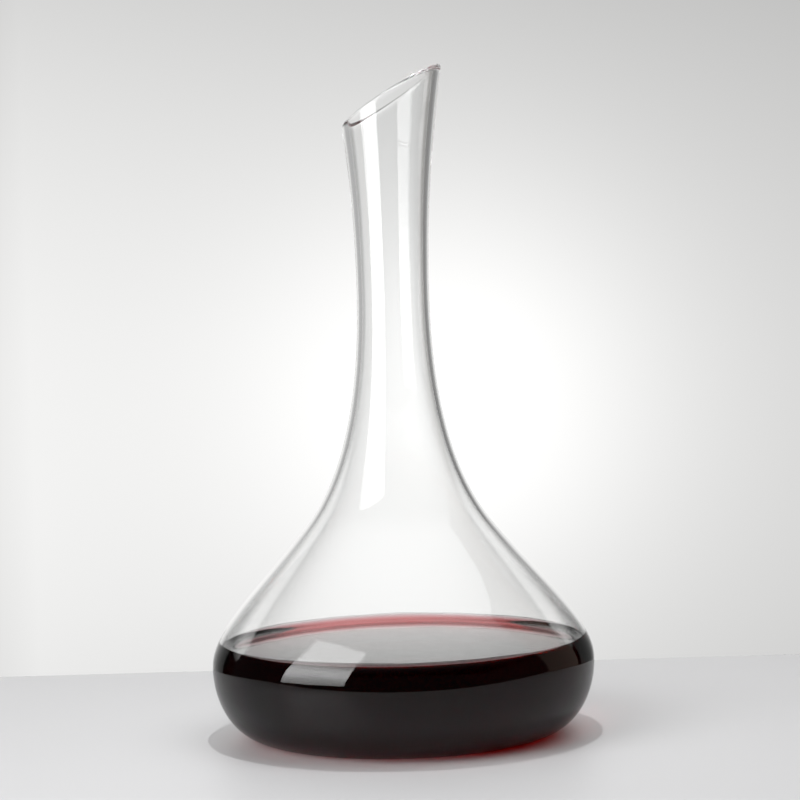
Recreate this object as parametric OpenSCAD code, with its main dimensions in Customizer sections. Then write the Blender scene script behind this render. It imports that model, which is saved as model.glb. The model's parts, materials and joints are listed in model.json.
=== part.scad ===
// Tall wine decanter with a wide squat bowl, a narrow waisted neck and a slanted flared mouth.
// One piece of blown glass, with the wine that it holds as a second solid.
// Origin: centre of the ring that it stands on. +Z is up, and +X points to the high side of the mouth.

/* [Bowl] */
// Outer radius of the flat ring that the decanter stands on
foot_r = 59.5; // [54:0.5:63]
// Width of that flat ring
foot_ring_w = 7; // [5:1:10]
// Rise of the hollow under the bowl, inside the ring
punt_rise = 3; // [0.5:0.5:6]
// Largest outer radius of the bowl
belly_r = 85; // [80:0.5:92]
// Height of that largest radius
belly_h = 33; // [29:1:37]

/* [Shoulder and neck] */
// Outer radius at the steepest point of the shoulder
shoulder_r = 41; // [37:0.5:45]
// Height of that point
shoulder_h = 94; // [90:0.5:99]
// Slope of the shoulder there, in degrees from level
shoulder_slope = 52; // [46:1:58]
// Smallest outer radius of the neck
waist_r = 16.1; // [14.5:0.1:18.5]
// Height of that smallest radius
waist_h = 197; // [190:1:204]

/* [Mouth] */
// Outer radius of the flare at the height below
flare_r = 23.8; // [21:0.1:27]
// Height at which the flare has that radius
flare_h = 293.5; // [284:0.5:302]
// Angle that the flare opens by on each side, in degrees
flare_angle = 8.5; // [4:0.5:14]
// Height of the slanted rim where it crosses the axis
rim_h = 283; // [272:1:292]
// Slope of the rim, in degrees
rim_slant = 30.5; // [20:0.5:40]

/* [Glass thickness] */
// Under the bowl, at the standing ring
base_t = 4.5; // [3:0.5:7]
// At the largest radius of the bowl
belly_t = 2; // [1.6:0.1:3]
// On the shoulder
shoulder_t = 2.1; // [1.6:0.1:3]
// In the neck
neck_t = 2.3; // [1.6:0.1:3]
// At the mouth
mouth_t = 3.2; // [2:0.1:4]

/* [Wine] */
// Height of the wine's surface above the table
wine_level = 39.5; // [28:0.5:58]
// How far the wine climbs the glass at its edge
meniscus_rise = 3.5; // [0.5:0.5:4]

/* [Hidden] */
$fn = 180;

// Steps along each curve of the outline.
curve_steps = 20;
// Space between the wine solid and the glass, so that the two never share a face.
wine_gap = 0.05;
// The flare runs on past the rim by this much, and the slanted cut takes it off.
flare_overrun = 30;
// Side of the block that makes the slanted cut.
cutter = 200;
// Width over which the wine's surface turns up to meet the glass.
meniscus_w = 5;
// The turned-up edge is drawn this much longer, so that it crosses the glass instead of just touching it.
meniscus_run = 1.07;

// Directions along the outline, each a unit vector.
level = [1, 0];
upright = [0, 1];
shoulder_dir = [-cos(shoulder_slope), sin(shoulder_slope)];
flare_dir = [sin(flare_angle), cos(flare_angle)];

// The points that the outline passes through.
foot_pt = [foot_r, 0];
belly_pt = [belly_r, belly_h];
shoulder_pt = [shoulder_r, shoulder_h];
waist_pt = [waist_r, waist_h];
flare_pt = [flare_r, flare_h];

// How far each curve holds the direction it starts with, and the one it ends with.
foot_pull = 15.5;
belly_pull_down = 18.5;
belly_pull_up = 16;
shoulder_pull_down = 30;
shoulder_pull_up = 29;
waist_pull_down = 43.5;
waist_pull_up = 35;
flare_pull = 34;

// Each curve is [start, start direction, start pull, end, end direction, end pull, start glass, end glass].
CURVES = [
    [foot_pt, level, foot_pull, belly_pt, upright, belly_pull_down, base_t, belly_t],
    [belly_pt, upright, belly_pull_up, shoulder_pt, shoulder_dir, shoulder_pull_down, belly_t, shoulder_t],
    [shoulder_pt, shoulder_dir, shoulder_pull_up, waist_pt, upright, waist_pull_down, shoulder_t, neck_t],
    [waist_pt, upright, waist_pull_up, flare_pt, flare_dir, flare_pull, neck_t, mouth_t]
];

// Point and derivative of a cubic curve through a, b, c, d at t from 0 to 1.
function cubic(a, b, c, d, t) =
    pow(1 - t, 3) * a + 3 * pow(1 - t, 2) * t * b + 3 * (1 - t) * t * t * c + pow(t, 3) * d;
function cubic_slope(a, b, c, d, t) =
    3 * pow(1 - t, 2) * (b - a) + 6 * (1 - t) * t * (c - b) + 3 * t * t * (d - c);

function handle_out(curve) = curve[0] + curve[2] * curve[1];
function handle_in(curve) = curve[3] - curve[5] * curve[4];
function on_curve(curve, t) = cubic(curve[0], handle_out(curve), handle_in(curve), curve[3], t);
function along_curve(curve, t) =
    let (v = cubic_slope(curve[0], handle_out(curve), handle_in(curve), curve[3], t)) v / norm(v);

// Glass thickness eases from one end of a curve to the other.
function ease(t) = t * t * (3 - 2 * t);
function glass_at(curve, t) = curve[6] + (curve[7] - curve[6]) * ease(t);

// The inner face lies square to the outer one, at the glass thickness plus any extra.
function inside_curve(curve, t, extra) =
    let (dir = along_curve(curve, t))
    on_curve(curve, t) + (glass_at(curve, t) + extra) * [-dir[1], dir[0]];

// A low dome of the given rise, level at the centre and at its edge, from the edge to the centre.
function dome(edge_r, edge_z, rise) = [
    for (i = [1 : curve_steps])
        let (q = 1 - i / curve_steps)
        [q * edge_r, edge_z + rise * pow(1 - q * q, 2)]
];

// Outer face from the foot ring to the end of the flare.
function outer_wall() = concat(
    [foot_pt],
    [for (curve = CURVES) for (i = [1 : curve_steps]) on_curve(curve, i / curve_steps)],
    [flare_pt + flare_overrun * flare_dir]
);

// Inner face over the same stretch, moved in by an extra gap.
function inner_wall(extra) = concat(
    [inside_curve(CURVES[0], 0, extra)],
    [for (curve = CURVES) for (i = [1 : curve_steps]) inside_curve(curve, i / curve_steps, extra)],
    [flare_pt + flare_overrun * flare_dir + (mouth_t + extra) * [-flare_dir[1], flare_dir[0]]]
);

function backwards(points) = [for (i = [len(points) - 1 : -1 : 0]) points[i]];

// Half section of the empty bowl, neck and flare, as the glass leaves it.
module cavity_section(extra) {
    wall = inner_wall(extra);
    top_z = wall[len(wall) - 1][1];
    polygon(concat(
        backwards(dome(foot_r, base_t + extra, punt_rise)),
        wall,
        [[0, top_z]]
    ));
}

// Half section of the whole outside, filled.
module outer_section() {
    wall = outer_wall();
    top_z = wall[len(wall) - 1][1];
    ring_r = foot_r - foot_ring_w;
    polygon(concat(
        backwards(dome(ring_r, 0, punt_rise)),
        [[ring_r, 0]],
        wall,
        [[0, top_z]]
    ));
}

// The block above the slanted rim.
module above_rim() {
    translate([0, 0, rim_h])
        rotate([0, -rim_slant, 0])
            translate([-cutter / 2, -cutter / 2, 0])
                cube(cutter);
}

module vessel() {
    color([0.82, 0.86, 0.86, 0.35])
        difference() {
            rotate_extrude()
                outer_section();
            rotate_extrude()
                cavity_section(0);
            above_rim();
        }
}

// Half section of the space below the wine's surface, with its edge turned up.
module below_surface(edge_r) {
    turn_r = edge_r - meniscus_w;
    climb = [
        for (i = [1 : curve_steps])
            let (q = meniscus_run * i / curve_steps)
            [turn_r + q * meniscus_w, wine_level + meniscus_rise * pow(q, 3)]
    ];
    polygon(concat(
        [[0, 0], [belly_r, 0], [belly_r, climb[curve_steps - 1][1]]],
        backwards(climb),
        [[turn_r, wine_level], [0, wine_level]]
    ));
}

// Radius of the cavity at the top of the wine, read off the curve above the belly.
function cavity_r(z) =
    lookup(z, [
        for (curve = [CURVES[0], CURVES[1]]) for (i = [0 : curve_steps])
            let (p = inside_curve(curve, i / curve_steps, wine_gap)) [p[1], p[0]]
    ]);

module wine() {
    color([0.25, 0.01, 0.04])
        rotate_extrude()
            intersection() {
                cavity_section(wine_gap);
                below_surface(cavity_r(wine_level + meniscus_rise));
            }
}

vessel();
wine();
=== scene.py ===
"""Looks of a wine decanter: a blown glass vessel with a fire-polished slanted rim, and the red wine in it.

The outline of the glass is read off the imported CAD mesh, the rim's plane off the record's mouth mount, and
the wine's level off the CAD wine, so no main size of the object is set here. All lengths are in metres.
"""

import json
import math

import bpy
import numpy as np
from mathutils import Matrix, Vector


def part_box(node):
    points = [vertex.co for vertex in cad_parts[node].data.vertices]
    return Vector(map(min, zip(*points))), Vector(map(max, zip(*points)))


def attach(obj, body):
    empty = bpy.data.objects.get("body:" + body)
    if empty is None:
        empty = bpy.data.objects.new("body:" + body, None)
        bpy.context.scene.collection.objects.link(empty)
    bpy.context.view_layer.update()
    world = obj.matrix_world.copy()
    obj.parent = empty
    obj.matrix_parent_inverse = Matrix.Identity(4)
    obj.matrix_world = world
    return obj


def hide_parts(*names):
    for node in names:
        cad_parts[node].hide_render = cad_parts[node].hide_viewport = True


MM = 0.001

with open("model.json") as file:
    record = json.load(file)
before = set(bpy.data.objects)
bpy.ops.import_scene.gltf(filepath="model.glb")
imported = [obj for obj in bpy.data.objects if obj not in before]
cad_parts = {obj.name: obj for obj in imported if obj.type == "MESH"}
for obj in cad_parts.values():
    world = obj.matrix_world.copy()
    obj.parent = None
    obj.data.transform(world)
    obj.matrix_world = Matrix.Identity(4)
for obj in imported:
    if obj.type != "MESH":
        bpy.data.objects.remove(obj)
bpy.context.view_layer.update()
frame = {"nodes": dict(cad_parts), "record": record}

# How finely the smooth pieces are built.
COLUMNS = 256
WALL_ROWS = 180
FINE_STEPS = 4000
OVERSAMPLE = 3
SURFACE_ROWS = 26
INNER_SURFACE_RINGS = (0.85, 0.7, 0.5, 0.3, 0.12)

# Reading the CAD mesh: how close points of one ring lie in the outline, how few points make a ring, and to
# how many decimals a place is told from another.
SAME_RING = 0.05 * MM
FEWEST_IN_RING = 3
PLACE_DECIMALS = 5

# A point this close to the line between its neighbours lies on a facet. It is kept after a longest step.
ON_FACET = 0.0004 * MM
LONGEST_STEP = 5 * MM

# A wall that turns more sharply than this in its upper half has reached the rim.
SHARP_TURN = math.radians(40)

# Fire-polished rim: how far it rounds over, and how square its section is (2 is a half ellipse).
RIM_ROUND = 1.4 * MM
RIM_SQUARENESS = 2.2
RIM_ROWS = 12

# Rounds of the search for the height where a wall meets the rim's plane.
RIM_ROUNDS = 40

# Wine at the glass: capillary length, and the slope of its edge where it meets the wall. Past 90 degrees
# the edge leans back over the wine, as the wall does there.
CAPILLARY = 2.27 * MM
EDGE_SLOPE = math.radians(107)
FLATTEST_SLOPE = 0.004
SLOPE_EASE = 1.3
HEIGHT_EASE = 4
WINE_GAP = 0.05 * MM
MEETS_AIR = "meets_air"

# The rows of the inner wall bend to follow the wine's edge over about this height to each side of it, and
# never below this share of the wine's level.
SHORE_BLEND = 8 * MM
BEND_FROM = 0.6
NO_BEND = 1e-3

IOR_GLASS = 1.5
IOR_WINE = 1.345


# ---------------------------------------------------------------- outline of the CAD bodies


def outline_chains(node):
    """The (r, z) outline of a turned CAD node, as one list of points from each end on the axis."""
    mesh = frame["nodes"][node].data
    places = np.array([v.co for v in mesh.vertices])
    flat = np.column_stack([np.hypot(places[:, 0], places[:, 1]), places[:, 2]])
    keys = [tuple(k) for k in np.round(flat / SAME_RING).astype(int)]
    members = {}
    for key, spot, place in zip(keys, flat, places):
        members.setdefault(key, {})[tuple(np.round(place, PLACE_DECIMALS))] = spot
    rings = {
        key: np.mean(list(found.values()), axis=0)
        for key, found in members.items()
        if len(found) >= FEWEST_IN_RING or key[0] == 0
    }
    links = {k: set() for k in rings}
    for edge in mesh.edges:
        a, b = (keys[i] for i in edge.vertices)
        if a != b and a in rings and b in rings:
            links[a].add(b)
            links[b].add(a)
    chains = []
    for start in sorted((k for k in rings if k[0] == 0), key=lambda k: k[1]):
        path = [start]
        seen = {start}
        while True:
            onward = [k for k in links[path[-1]] if k not in seen]
            if not onward:
                break
            path.append(min(onward, key=lambda k: math.dist(k, path[-1])))
            seen.add(path[-1])
        chain = [rings[path[0]]]
        for key in path[1:]:
            if math.dist(rings[key], chain[-1]) > 2 * SAME_RING:
                chain.append(rings[key])
        chains.append(np.array(chain))
    return chains


def smooth_curve(points, count):
    """An even sampling of a smooth curve through the points."""
    steps = np.linalg.norm(np.diff(points, axis=0), axis=1)
    knots = np.concatenate([[0], np.cumsum(steps)])
    tangents = np.gradient(points, knots, axis=0)
    fine = np.linspace(0, knots[-1], OVERSAMPLE * count)
    i = np.clip(np.searchsorted(knots, fine, side="right") - 1, 0, len(steps) - 1)
    h = steps[i][:, None]
    t = (fine[:, None] - knots[i][:, None]) / h
    curve = (
        (1 + 2 * t) * (1 - t) ** 2 * points[i]
        + t * (1 - t) ** 2 * h * tangents[i]
        + t * t * (3 - 2 * t) * points[i + 1]
        + t * t * (t - 1) * h * tangents[i + 1]
    )
    run = np.concatenate([[0], np.cumsum(np.linalg.norm(np.diff(curve, axis=0), axis=1))])
    even = np.linspace(0, run[-1], count)
    return np.column_stack([np.interp(even, run, curve[:, k]) for k in (0, 1)])


def run_on(points, length):
    """The same points with the last stretch carried straight on."""
    ahead = points[-1] - points[-2]
    return np.vstack([points, points[-1] + ahead / np.linalg.norm(ahead) * length])


def below_rim(chain):
    """A wall's outline up to where it turns over at the rim, without points halfway along a facet."""
    kept = [chain[0]]
    for i in range(1, len(chain) - 1):
        (ax, az), (bx, bz) = chain[i] - kept[-1], chain[i + 1] - chain[i]
        bend = abs(ax * bz - az * bx) / math.hypot(ax + bx, az + bz)
        if bend > ON_FACET or math.dist(chain[i], kept[-1]) > LONGEST_STEP:
            kept.append(chain[i])
    chain = np.array(kept + [chain[-1]])
    steps = np.diff(chain, axis=0)
    turns = np.abs(np.diff(np.arctan2(steps[:, 0], steps[:, 1])))
    high = chain[1:-1, 1] > (box_low.z + box_high.z) / 2
    over = np.flatnonzero((turns > SHARP_TURN) & high)
    return chain[: over[0] + 2] if len(over) else chain


box_low, box_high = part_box("vessel")
outer_points, inner_points = (below_rim(chain) for chain in outline_chains("vessel"))
OVERRUN = 0.1 * box_high.z
outer_curve = smooth_curve(run_on(outer_points, OVERRUN), FINE_STEPS)
inner_curve = smooth_curve(run_on(inner_points, OVERRUN), FINE_STEPS)
outer_curve[:, 1] = np.maximum(outer_curve[:, 1], box_low.z)

mouth = next(m for m in frame["record"]["mounts"] if m["name"] == "mouth")
RIM_HEIGHT = mouth["pos_m"][2]
RIM_GRADE = -mouth["axis"][0] / mouth["axis"][2]

WINE_LEVEL = outline_chains("wine")[0][-1][1]

# Share of the height above which the rows of the walls start to lean with the rim.
LEAN_FROM = 0.6

angles = np.arange(COLUMNS) * 2 * math.pi / COLUMNS


def radius_at(curve, z):
    """Radius of the wall above the belly at a height."""
    widest = curve[:, 0].argmax()
    return np.interp(z, curve[widest:, 1], curve[widest:, 0])


def rim_heights(curve, below):
    """Height at each angle where the wall meets the rim's plane, lowered by a distance."""
    z = np.full(COLUMNS, RIM_HEIGHT)
    for _ in range(RIM_ROUNDS):
        z = RIM_HEIGHT - below + RIM_GRADE * radius_at(curve, z) * np.cos(angles)
    return z


# ---------------------------------------------------------------- turned meshes


def ring(radius, height):
    """One row of points round the axis. Radius and height may vary with angle."""
    r = np.broadcast_to(radius, (COLUMNS,))
    z = np.broadcast_to(height, (COLUMNS,))
    return np.column_stack([r * np.cos(angles), r * np.sin(angles), z])


def turned_mesh(name, start, rows, end, changes_at, marks):
    """A closed mesh from a point on the axis, through rows of points, to a second point on the axis.

    Its faces from row changes_at on are marked, either by a second material slot or by an attribute.
    """
    count = len(rows)
    verts = np.vstack([[(0, 0, start)], *rows, [(0, 0, end)]])
    last = len(verts) - 1
    ahead = (np.arange(COLUMNS) + 1) % COLUMNS
    faces = []
    for j in range(COLUMNS):
        faces.append((0, 1 + ahead[j], 1 + j))
    for i in range(count - 1):
        a = 1 + i * COLUMNS
        b = a + COLUMNS
        for j in range(COLUMNS):
            faces.append((a + j, a + ahead[j], b + ahead[j], b + j))
    top = 1 + (count - 1) * COLUMNS
    for j in range(COLUMNS):
        faces.append((top + j, top + ahead[j], last))
    mesh = bpy.data.meshes.new(name)
    mesh.from_pydata(verts.tolist(), [], [tuple(int(i) for i in f) for f in faces])
    mesh.polygons.foreach_set("use_smooth", [True] * len(faces))
    marked = [int(row >= changes_at) for row in range(count + 1) for _ in range(COLUMNS)]
    if marks == "slot":
        mesh.polygons.foreach_set("material_index", marked)
    else:
        mesh.attributes.new(marks, "FLOAT", "FACE").data.foreach_set("value", marked)
    mesh.update()
    obj = bpy.data.objects.new(name, mesh)
    bpy.context.scene.collection.objects.link(obj)
    return obj


def wall_rows(curve, below):
    """Rows of a wall from the axis to the rim. The rows near the rim lean with its plane."""
    middle = RIM_HEIGHT - below
    top = rim_heights(curve, below)
    length = np.concatenate([[0], np.cumsum(np.linalg.norm(np.diff(curve, axis=0), axis=1))])
    end = np.interp(middle, curve[:, 1], length)
    rows = []
    for run in np.linspace(0, end, WALL_ROWS)[1:]:
        r = np.interp(run, length, curve[:, 0])
        z = np.interp(run, length, curve[:, 1])
        share = max(0, (z - LEAN_FROM * middle) / ((1 - LEAN_FROM) * middle))
        if share == 0:
            rows.append(ring(r, z))
        else:
            tall = z + share * share * (3 - 2 * share) * (top - middle)
            rows.append(ring(radius_at(curve, tall), tall))
    return rows


# ---------------------------------------------------------------- wine's edge on the glass


def edge_slope():
    """Slope of the wine's edge where it meets the glass, which varies a little round the bowl."""
    a = angles
    wander = 0.05 * np.sin(3 * a + 0.6) + 0.04 * np.sin(7 * a + 2.1) + 0.025 * np.sin(17 * a + 4.0)
    return EDGE_SLOPE * (1 + wander)


def climb(slope):
    """Height above the level, and distance from the wall's foot, of a liquid edge at a slope."""
    height = 2 * CAPILLARY * np.sin(slope / 2)
    away = CAPILLARY * (np.arccosh(1 / np.sin(slope / 2)) - 2 * np.cos(slope / 2))
    return height, away


wall_slope = edge_slope()
contact_rise, contact_away = climb(wall_slope)
contact_height = WINE_LEVEL + contact_rise


def inner_wall():
    """Rows of the inner wall, and the number of the row that is the wine's edge on the glass."""
    rows = wall_rows(inner_curve, RIM_ROUND)
    heights = np.array([row[:, 2].mean() for row in rows])
    shore = int(np.abs(heights - contact_height.mean()).argmin())
    for i in range(1, len(rows)):
        nearness = math.exp(-(((heights[i] - heights[shore]) / SHORE_BLEND) ** 2))
        if nearness > NO_BEND and heights[i] > BEND_FROM * WINE_LEVEL:
            tall = heights[i] + nearness * (contact_height - heights[shore])
            rows[i] = ring(radius_at(inner_curve, tall), tall)
    return rows, shore


def build_vessel():
    outer = wall_rows(outer_curve, RIM_ROUND)
    middle = (outer[-1] + inner_rows[-1]) / 2
    half = (outer[-1] - inner_rows[-1]) / 2
    power = 2 / RIM_SQUARENESS
    lip = []
    for i in range(1, RIM_ROWS):
        turn = math.pi * i / RIM_ROWS
        across = math.copysign(abs(math.cos(turn)) ** power, math.cos(turn))
        rise = abs(math.sin(turn)) ** power
        lip.append(middle + half * across + np.array([0, 0, RIM_ROUND * rise]))
    rows = outer + lip + inner_rows[::-1]
    wet_from = len(rows) - shore_row
    return turned_mesh("vessel_glass", outer_curve[0][1], rows, inner_curve[0][1], wet_from, "slot")


def build_wine():
    below = np.array(inner_rows[: shore_row + 1])
    reach = np.hypot(below[..., 0], below[..., 1])
    dr = np.gradient(reach, axis=0)
    dz = np.gradient(below[..., 2], axis=0)
    size = np.hypot(dr, dz)
    rows = []
    for i in range(shore_row + 1):
        step_in = WINE_GAP * dz[i] / size[i]
        step_up = WINE_GAP * dr[i] / size[i]
        rows.append(ring(reach[i] - step_in, below[i, :, 2] + step_up))
    wet_rows = len(rows)
    shore = np.hypot(rows[-1][:, 0], rows[-1][:, 1])
    edge = rows[-1][:, 2]
    for share in np.linspace(0, 1, SURFACE_ROWS)[1:]:
        slope = wall_slope * (FLATTEST_SLOPE / wall_slope) ** (share**SLOPE_EASE)
        height, away = climb(slope)
        inward = shore - (away - contact_away)
        rows.append(ring(inward, edge - contact_rise + height * (1 - share**HEIGHT_EASE)))
    for share in INNER_SURFACE_RINGS:
        rows.append(ring(inward * share, WINE_LEVEL))
    return turned_mesh("wine_fill", inner_curve[0][1] + WINE_GAP, rows, WINE_LEVEL, wet_rows, MEETS_AIR)


inner_rows, shore_row = inner_wall()


# ---------------------------------------------------------------- materials


class Nodes:
    """A short way to write a node material."""

    def __init__(self, name):
        self.material = bpy.data.materials.new(name)
        self.material.use_nodes = True
        self.tree = self.material.node_tree
        self.tree.nodes.clear()
        self.output = self.tree.nodes.new("ShaderNodeOutputMaterial")

    def add(self, kind, inputs=None, **settings):
        node = self.tree.nodes.new("ShaderNode" + kind)
        for key, value in settings.items():
            setattr(node, key, value)
        for key, value in (inputs or {}).items():
            if isinstance(value, bpy.types.NodeSocket):
                self.tree.links.new(value, node.inputs[key])
            else:
                node.inputs[key].default_value = value
        return node

    def math(self, operation, *values):
        node = self.add("Math", operation=operation)
        for socket, value in zip(node.inputs, values):
            if isinstance(value, bpy.types.NodeSocket):
                self.tree.links.new(value, socket)
            else:
                socket.default_value = value
        return node.outputs[0]

    def surface(self, socket):
        self.tree.links.new(socket, self.output.inputs["Surface"])

    def volume(self, socket):
        self.tree.links.new(socket, self.output.inputs["Volume"])


def blown_glass(name, ior):
    """Clear blown glass: faint waves along the wall, and a surface that is a little less than perfect."""
    m = Nodes(name)
    place = m.add("TexCoord").outputs["Object"]
    drawn = m.add("Mapping", {"Vector": place, "Scale": (1, 1, 0.12)}).outputs["Vector"]
    waves = m.add("TexNoise", {"Vector": drawn, "Scale": 55, "Detail": 1.5, "Roughness": 0.4})
    bump = m.add("Bump", {"Height": waves.outputs["Fac"], "Strength": 0.25, "Distance": 0.15 * MM})
    smears = m.add("TexNoise", {"Vector": place, "Scale": 22, "Detail": 3})
    haze = m.add("MapRange", {"Value": smears.outputs["Fac"], "To Min": 0.0, "To Max": 0.012})
    glass = m.add(
        "BsdfPrincipled",
        {
            "Base Color": (0.996, 0.999, 0.998, 1),
            "Roughness": haze.outputs["Result"],
            "IOR": ior,
            "Transmission Weight": 1.0,
            "Normal": bump.outputs["Normal"],
        },
    )
    m.surface(glass.outputs["BSDF"])
    return m.material


def red_wine(name, ior):
    """Clear red wine: its colour comes from how far light travels in it.

    It bends light only where it meets air. The bend where it meets glass is in the wet glass.
    """
    m = Nodes(name)
    place = m.add("TexCoord").outputs["Object"]
    drift = m.add("TexNoise", {"Vector": place, "Scale": 18, "Detail": 2})
    haze = m.add("MapRange", {"Value": drift.outputs["Fac"], "To Min": 0.0, "To Max": 0.01})
    open_face = m.add("Attribute", attribute_name=MEETS_AIR).outputs["Fac"]
    bend = m.math("ADD", 1.0, m.math("MULTIPLY", open_face, ior - 1))
    body = m.add(
        "BsdfPrincipled",
        {
            "Base Color": (1.0, 0.985, 0.985, 1),
            "Roughness": haze.outputs["Result"],
            "IOR": bend,
            "Transmission Weight": 1.0,
        },
    )
    depth = m.add("VolumeAbsorption", {"Color": (0.93, 0.0, 0.04, 1), "Density": 560})
    m.surface(body.outputs["BSDF"])
    m.volume(depth.outputs["Volume"])
    return m.material


# ---------------------------------------------------------------- studio


CAMERA_AZIMUTH = math.radians(6)
CAMERA_DISTANCE = 6 * (box_high.x - box_low.x)
CAMERA_HEIGHT = 0.1886
CAMERA_ROLL = math.radians(1.65)
SENSOR = 36.0
LENS = 103.3
AXIS_OFFSET = 1.8 * MM

# Stage pieces, in the studio's own axes: +X is to the camera's right and +Y away from it.
TABLE_HALF = 2.5
TABLE_FRONT = -0.28
TABLE_BACK = 0.193
BACKDROP_HALF = 3.0
BACKDROP_AWAY = 1.8
BACKDROP_LOW = -1.6
BACKDROP_HIGH = 2.0
CEILING_HALF = 3.2
CEILING_HEIGHT = 1.5
CARD_RIGHT = 1.1
CARD_NEAR = 0.03
CARD_FAR = 0.74
CARD_LOW = -0.3
CARD_HIGH = 1.4
SOFTBOX_CENTRE = (-0.265, -0.225, 0.256)
SOFTBOX_TOP = 0.288
SOFTBOX_BOTTOM = 0.228
SOFTBOX_HEIGHT = 0.422
SOFTBOX_YAW = math.radians(43.5)
SOFTBOX_LEAN = math.radians(-2.5)

# The backdrop is lit across its middle and falls off to both sides, and it is dark past its two ends.
# Through glass its level stays above a floor, which slopes from left to right.
BACKDROP_LEVEL = 0.8
BACKDROP_TILT = 0.21
BRIGHT_HEIGHT = 0.04
BRIGHT_SPREAD = 1.05
RIGHT_FADE_FROM = 0.49
RIGHT_FADE_RATE = 4.1
RIGHT_FADE_SHARE = 0.7
RIGHT_REST = 0.095
LEFT_FADE_FROM = -0.38
LEFT_FADE_RATE = -1.5
BACKDROP_LEFT_END = -1.8
BACKDROP_RIGHT_END = 2.15
GLASS_FLOOR_LEFT = 0.42
GLASS_FLOOR_RIGHT = 0.22
GLASS_FLOOR_HALF = 0.4
PATCH_PLACE = (0.07, 0.08)
PATCH_SPREAD = (0.25, 0.26)
PATCH_LEVEL = 0.32
UPPER_FROM = 0.62
UPPER_TO = 1.0
UPPER_LEVEL = 0.9

# The photo clips bright tones and deepens dark ones, so the backdrop counts for more through glass than in
# direct view, and the table for less in a reflection.
BACKDROP_THROUGH_GLASS = 1.05
BACKDROP_MIRRORED_THROUGH_GLASS = 1.14
# Painted shade: the table's colour is dimmed by this share wherever a reflection sees it.
TABLE_SHADE_IN_MIRROR = 0.6

SOFTBOX_LEVEL = 2.9
SOFTBOX_LAMP_LEVEL = 4.8
SOFTBOX_LAMP_HEIGHT = 0.17
SOFTBOX_LAMP_SPREAD = 0.07
CARD_LEVEL = 0.9
CARD_RISE = 0.1
CARD_COLOUR = (0.19, 0.155, 0.13, 1)
CEILING_LEVEL = 4.2
CEILING_THROUGH_GLASS = 0.3
ROOM_COLOUR = (0.02, 0.02, 0.021, 1)

# Light runs a long way inside the glass of the neck before it gets out at the rim.
BOUNCES = 160


def aim_camera():
    a = CAMERA_AZIMUTH
    right = Vector((math.cos(a), math.sin(a), 0))
    spot = Vector((math.sin(a), -math.cos(a), 0)) * CAMERA_DISTANCE
    spot.z = CAMERA_HEIGHT
    target = Vector((0, 0, (box_low.z + box_high.z) / 2)) + right * AXIS_OFFSET
    back = (spot - target).normalized()
    up = back.cross(right).normalized()
    side = up.cross(back)
    leaned_up = up * math.cos(CAMERA_ROLL) + side * math.sin(CAMERA_ROLL)
    leaned_side = side * math.cos(CAMERA_ROLL) - up * math.sin(CAMERA_ROLL)
    data = bpy.data.cameras.new("camera")
    data.lens = LENS
    data.sensor_width = SENSOR
    data.clip_start = 0.01
    data.clip_end = 30
    camera = bpy.data.objects.new("camera", data)
    turn = Matrix((leaned_side, leaned_up, back)).transposed()
    camera.matrix_world = Matrix.Translation(spot) @ turn.to_4x4()
    bpy.context.scene.collection.objects.link(camera)
    bpy.context.scene.camera = camera
    return camera


def studio_turntable(camera):
    """An empty at the decanter that turns with the camera, so that the light is the same from all sides."""
    rig = bpy.data.objects.new("studio", None)
    bpy.context.scene.collection.objects.link(rig)
    follow = rig.constraints.new("COPY_ROTATION")
    follow.target = camera
    follow.use_x = False
    follow.use_y = False
    return rig


def flat_panel(name, rig, corners, material):
    """A four-cornered stage piece in the studio's own axes: +Y is away from the camera."""
    mesh = bpy.data.meshes.new(name)
    mesh.from_pydata([tuple(c) for c in corners], [], [tuple(range(len(corners)))])
    mesh.materials.append(material)
    obj = bpy.data.objects.new(name, mesh)
    bpy.context.scene.collection.objects.link(obj)
    obj.parent = rig
    return obj


def level_corners(half, front, back, height):
    """Corners of a level panel that faces up."""
    return [(-half, front, height), (half, front, height), (half, back, height), (-half, back, height)]


def softbox_corners():
    """Corners of the softbox, which faces the way of its yaw from +X. A lean tips its top that way."""
    face = Vector((math.cos(SOFTBOX_YAW), math.sin(SOFTBOX_YAW), 0))
    side = Vector((-face.y, face.x, 0))
    up = Vector((0, 0, 1)) * math.cos(SOFTBOX_LEAN) + face * math.sin(SOFTBOX_LEAN)
    centre = Vector(SOFTBOX_CENTRE)
    rise = up * SOFTBOX_HEIGHT / 2
    return [
        centre - side * SOFTBOX_BOTTOM / 2 - rise,
        centre + side * SOFTBOX_BOTTOM / 2 - rise,
        centre + side * SOFTBOX_TOP / 2 + rise,
        centre - side * SOFTBOX_TOP / 2 + rise,
    ]


def bell(m, value, centre, width):
    """A smooth bump of height 1 in a node tree."""
    off = m.math("DIVIDE", m.math("SUBTRACT", value, centre), width)
    return m.math("EXPONENT", m.math("MULTIPLY", m.math("MULTIPLY", off, off), -1.0))


def one_sided_light(m, level, colour):
    """Shine at a level from the front of a panel, and let light through from behind."""
    glow = m.add("Emission", {"Color": colour, "Strength": level})
    clear = m.add("BsdfTransparent")
    seen_from = m.add("NewGeometry")
    both = m.add("MixShader", {0: seen_from.outputs["Backfacing"], 1: glow.outputs[0], 2: clear.outputs[0]})
    m.surface(both.outputs[0])
    return m.material


def fade(m, value, start, rate):
    """A smooth fall from 1 at the start, towards plus (rate > 0) or towards minus (rate < 0)."""
    return m.math("EXPONENT", m.math("MULTIPLY", m.math("SUBTRACT", value, start), -rate))


def ramp(m, value, start, end, low, high):
    """A straight run from low at the start to high at the end, level past both."""
    span = {"Value": value, "From Min": start, "From Max": end, "To Min": low, "To Max": high}
    return m.add("MapRange", span).outputs["Result"]


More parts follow.
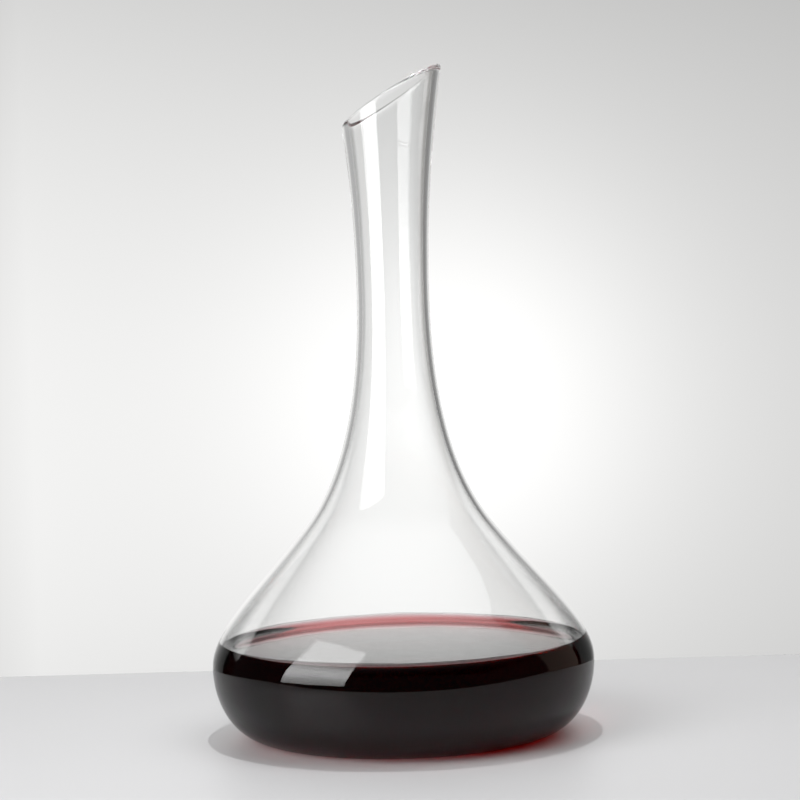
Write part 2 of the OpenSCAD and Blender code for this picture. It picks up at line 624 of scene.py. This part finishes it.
def seen_by(m, way):
    """1 where a surface is seen by way of a reflection (Glossy) or through glass (Transmission), else 0."""
    return m.math("GREATER_THAN", m.add("LightPath").outputs[way + " Depth"], 0.5)


def boost(m, level, share, factor):
    """The level, times a factor where the share is 1."""
    return m.math("MULTIPLY", level, m.math("ADD", 1.0, m.math("MULTIPLY", share, factor - 1)))


def backdrop_light():
    """A pale wall with a soft bright patch that shows behind the shoulder, bright again high up.

    It fades to both sides, and less so where it shows through glass.
    """
    m = Nodes("backdrop_light")
    axes = m.add("SeparateXYZ", {"Vector": m.add("TexCoord").outputs["Object"]})
    x = axes.outputs["X"]
    z = axes.outputs["Z"]
    through = seen_by(m, "Transmission")
    both_ways = m.math("MULTIPLY", through, seen_by(m, "Glossy"))
    tilt = m.math("SUBTRACT", BACKDROP_LEVEL, m.math("MULTIPLY", x, BACKDROP_TILT))
    to_right = m.math("MULTIPLY", fade(m, x, RIGHT_FADE_FROM, RIGHT_FADE_RATE), RIGHT_FADE_SHARE)
    to_right = m.math("ADD", RIGHT_REST, to_right)
    to_left = fade(m, x, LEFT_FADE_FROM, LEFT_FADE_RATE)
    past_left = m.math("GREATER_THAN", x, BACKDROP_LEFT_END)
    inside = m.math("MULTIPLY", past_left, m.math("LESS_THAN", x, BACKDROP_RIGHT_END))
    sides = m.math("MULTIPLY", m.math("MINIMUM", to_left, to_right), inside)
    half = GLASS_FLOOR_HALF
    floor = ramp(m, x, -half, half, GLASS_FLOOR_LEFT, GLASS_FLOOR_RIGHT)
    sides = m.math("MAXIMUM", sides, m.math("MULTIPLY", through, floor))
    upright = bell(m, z, BRIGHT_HEIGHT, BRIGHT_SPREAD)
    wide = m.math("MULTIPLY", m.math("MINIMUM", tilt, sides), upright)
    across = bell(m, x, PATCH_PLACE[0], PATCH_SPREAD[0])
    patch = m.math("MULTIPLY", across, bell(m, z, PATCH_PLACE[1], PATCH_SPREAD[1]))
    upper = ramp(m, z, UPPER_FROM, UPPER_TO, 0.0, UPPER_LEVEL)
    level = m.math("ADD", m.math("ADD", wide, upper), m.math("MULTIPLY", patch, PATCH_LEVEL))
    level = boost(m, level, through, BACKDROP_THROUGH_GLASS)
    level = boost(m, level, both_ways, BACKDROP_MIRRORED_THROUGH_GLASS)
    return one_sided_light(m, level, (1.0, 0.998, 0.99, 1))


def card_light():
    """A dim warm board at the right, a touch brighter at the height of the neck."""
    m = Nodes("card_light")
    axes = m.add("SeparateXYZ", {"Vector": m.add("TexCoord").outputs["Object"]})
    rise = m.math("MULTIPLY", bell(m, axes.outputs["Z"], centre=0.2, width=0.8), CARD_RISE)
    return one_sided_light(m, m.math("ADD", CARD_LEVEL, rise), CARD_COLOUR)


def softbox_light():
    """A tall softbox, brightest in a band in its lower half where the lamp is."""
    m = Nodes("softbox_light")
    axes = m.add("SeparateXYZ", {"Vector": m.add("TexCoord").outputs["Object"]})
    band = bell(m, axes.outputs["Z"], SOFTBOX_LAMP_HEIGHT, SOFTBOX_LAMP_SPREAD)
    band = m.math("MULTIPLY", band, SOFTBOX_LAMP_LEVEL)
    return one_sided_light(m, m.math("ADD", SOFTBOX_LEVEL, band), (1, 1, 1, 1))


def ceiling_light():
    """A wide soft light overhead that fades out to its edges.

    It gives reflections, and it reaches the table only by way of the decanter.
    """
    m = Nodes("ceiling_light")
    axes = m.add("SeparateXYZ", {"Vector": m.add("TexCoord").outputs["Object"]})
    across = bell(m, axes.outputs["X"], centre=-0.1, width=1.3)
    middle = m.math("MULTIPLY", across, bell(m, axes.outputs["Y"], centre=0.4, width=1.2))
    level = boost(m, CEILING_LEVEL, seen_by(m, "Transmission"), CEILING_THROUGH_GLASS)
    return one_sided_light(m, m.math("MULTIPLY", middle, level), (1, 1, 1, 1))


def table_top():
    """A pale satin table, with painted shade: its colour is darker wherever a reflection sees it."""
    m = Nodes("table_top")
    place = m.add("TexCoord").outputs["Object"]
    cloud = m.add("TexNoise", {"Vector": place, "Scale": 3, "Detail": 4})
    tones = {"Fac": cloud.outputs["Fac"], "Color1": (0.5, 0.5, 0.507, 1), "Color2": (0.53, 0.53, 0.537, 1)}
    tone = m.add("MixRGB", tones)
    # Painted shade: the table's colour is dimmed where it is seen in a reflection.
    shade = boost(m, 1.0, seen_by(m, "Glossy"), TABLE_SHADE_IN_MIRROR)
    mirror_shaded_tone = m.add("VectorMath", {"Vector": tone.outputs[0]}, operation="SCALE")
    m.tree.links.new(shade, mirror_shaded_tone.inputs["Scale"])
    top = m.add("BsdfPrincipled", {"Base Color": mirror_shaded_tone.outputs["Vector"], "Roughness": 0.45})
    m.surface(top.outputs["BSDF"])
    return m.material


def lamp(name, rig, place, size, watts):
    """A round lamp aimed at the foot of the decanter. The camera does not see it directly."""
    data = bpy.data.lights.new(name, "AREA")
    data.shape = "DISK"
    data.size = size
    data.energy = watts
    obj = bpy.data.objects.new(name, data)
    obj.location = place
    obj.rotation_mode = "QUATERNION"
    obj.rotation_quaternion = Vector(place).to_track_quat("Z", "Y")
    obj.visible_camera = False
    obj.parent = rig
    bpy.context.scene.collection.objects.link(obj)
    return obj


def only_on(light, receiver, shade):
    """Let a lamp light only one stage piece, with one thing throwing a shadow there.

    It is kept out of reflections and out of what shows through glass.
    """
    light.visible_glossy = False
    light.visible_transmission = False
    lit = bpy.data.collections.new(light.name + "_lit")
    lit.objects.link(receiver)
    blockers = bpy.data.collections.new(light.name + "_blockers")
    blockers.objects.link(shade)
    light.light_linking.receiver_collection = lit
    light.light_linking.blocker_collection = blockers


def build_studio(camera, shade):
    rig = studio_turntable(camera)
    table = flat_panel("table", rig, level_corners(TABLE_HALF, TABLE_FRONT, TABLE_BACK, 0), table_top())
    backdrop = [
        (-BACKDROP_HALF, BACKDROP_AWAY, BACKDROP_LOW),
        (BACKDROP_HALF, BACKDROP_AWAY, BACKDROP_LOW),
        (BACKDROP_HALF, BACKDROP_AWAY, BACKDROP_HIGH),
        (-BACKDROP_HALF, BACKDROP_AWAY, BACKDROP_HIGH),
    ]
    flat_panel("backdrop", rig, backdrop, backdrop_light())
    softbox = flat_panel("softbox", rig, softbox_corners(), softbox_light())
    softbox.visible_diffuse = False
    softbox.visible_shadow = False
    card = [
        (CARD_RIGHT, CARD_FAR, CARD_LOW),
        (CARD_RIGHT, CARD_NEAR, CARD_LOW),
        (CARD_RIGHT, CARD_NEAR, CARD_HIGH),
        (CARD_RIGHT, CARD_FAR, CARD_HIGH),
    ]
    flat_panel("card", rig, card, card_light())
    overhead = level_corners(CEILING_HALF, -CEILING_HALF, CEILING_HALF, CEILING_HEIGHT)
    ceiling = flat_panel("ceiling", rig, overhead[::-1], ceiling_light())
    ceiling.visible_diffuse = False
    lamp("overhead", rig, place=(0, 0, 1.0), size=0.02, watts=3.4)
    spill = lamp("softbox_spill", rig, place=(-0.8, -0.68, 0.75), size=0.9, watts=12)
    fill = lamp("fill", rig, place=(0.5, -0.3, 1.2), size=1.0, watts=6.5)
    only_on(spill, table, shade)
    only_on(fill, table, shade)


def set_look():
    scene = bpy.context.scene
    world = bpy.data.worlds.new("room")
    world.use_nodes = True
    world.node_tree.nodes["Background"].inputs["Color"].default_value = ROOM_COLOUR
    scene.world = world
    scene.view_settings.view_transform = "Standard"
    scene.view_settings.look = "None"
    scene.cycles.max_bounces = BOUNCES
    scene.cycles.transmission_bounces = BOUNCES
    scene.cycles.glossy_bounces = BOUNCES
    scene.cycles.transparent_max_bounces = 16
    scene.cycles.caustics_reflective = True
    scene.cycles.caustics_refractive = True
    scene.cycles.blur_glossy = 0.0
    scene.cycles.sample_clamp_indirect = 8


# ---------------------------------------------------------------- the decanter


vessel = build_vessel()
vessel.data.materials.append(blown_glass("clear_glass", IOR_GLASS))
vessel.data.materials.append(blown_glass("clear_glass_wet", IOR_GLASS / IOR_WINE))
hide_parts("vessel")
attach(vessel, "root")

wine = build_wine()
wine.data.materials.append(red_wine("red_wine", IOR_WINE))
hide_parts("wine")
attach(wine, "root")

build_studio(aim_camera(), wine)
set_look()
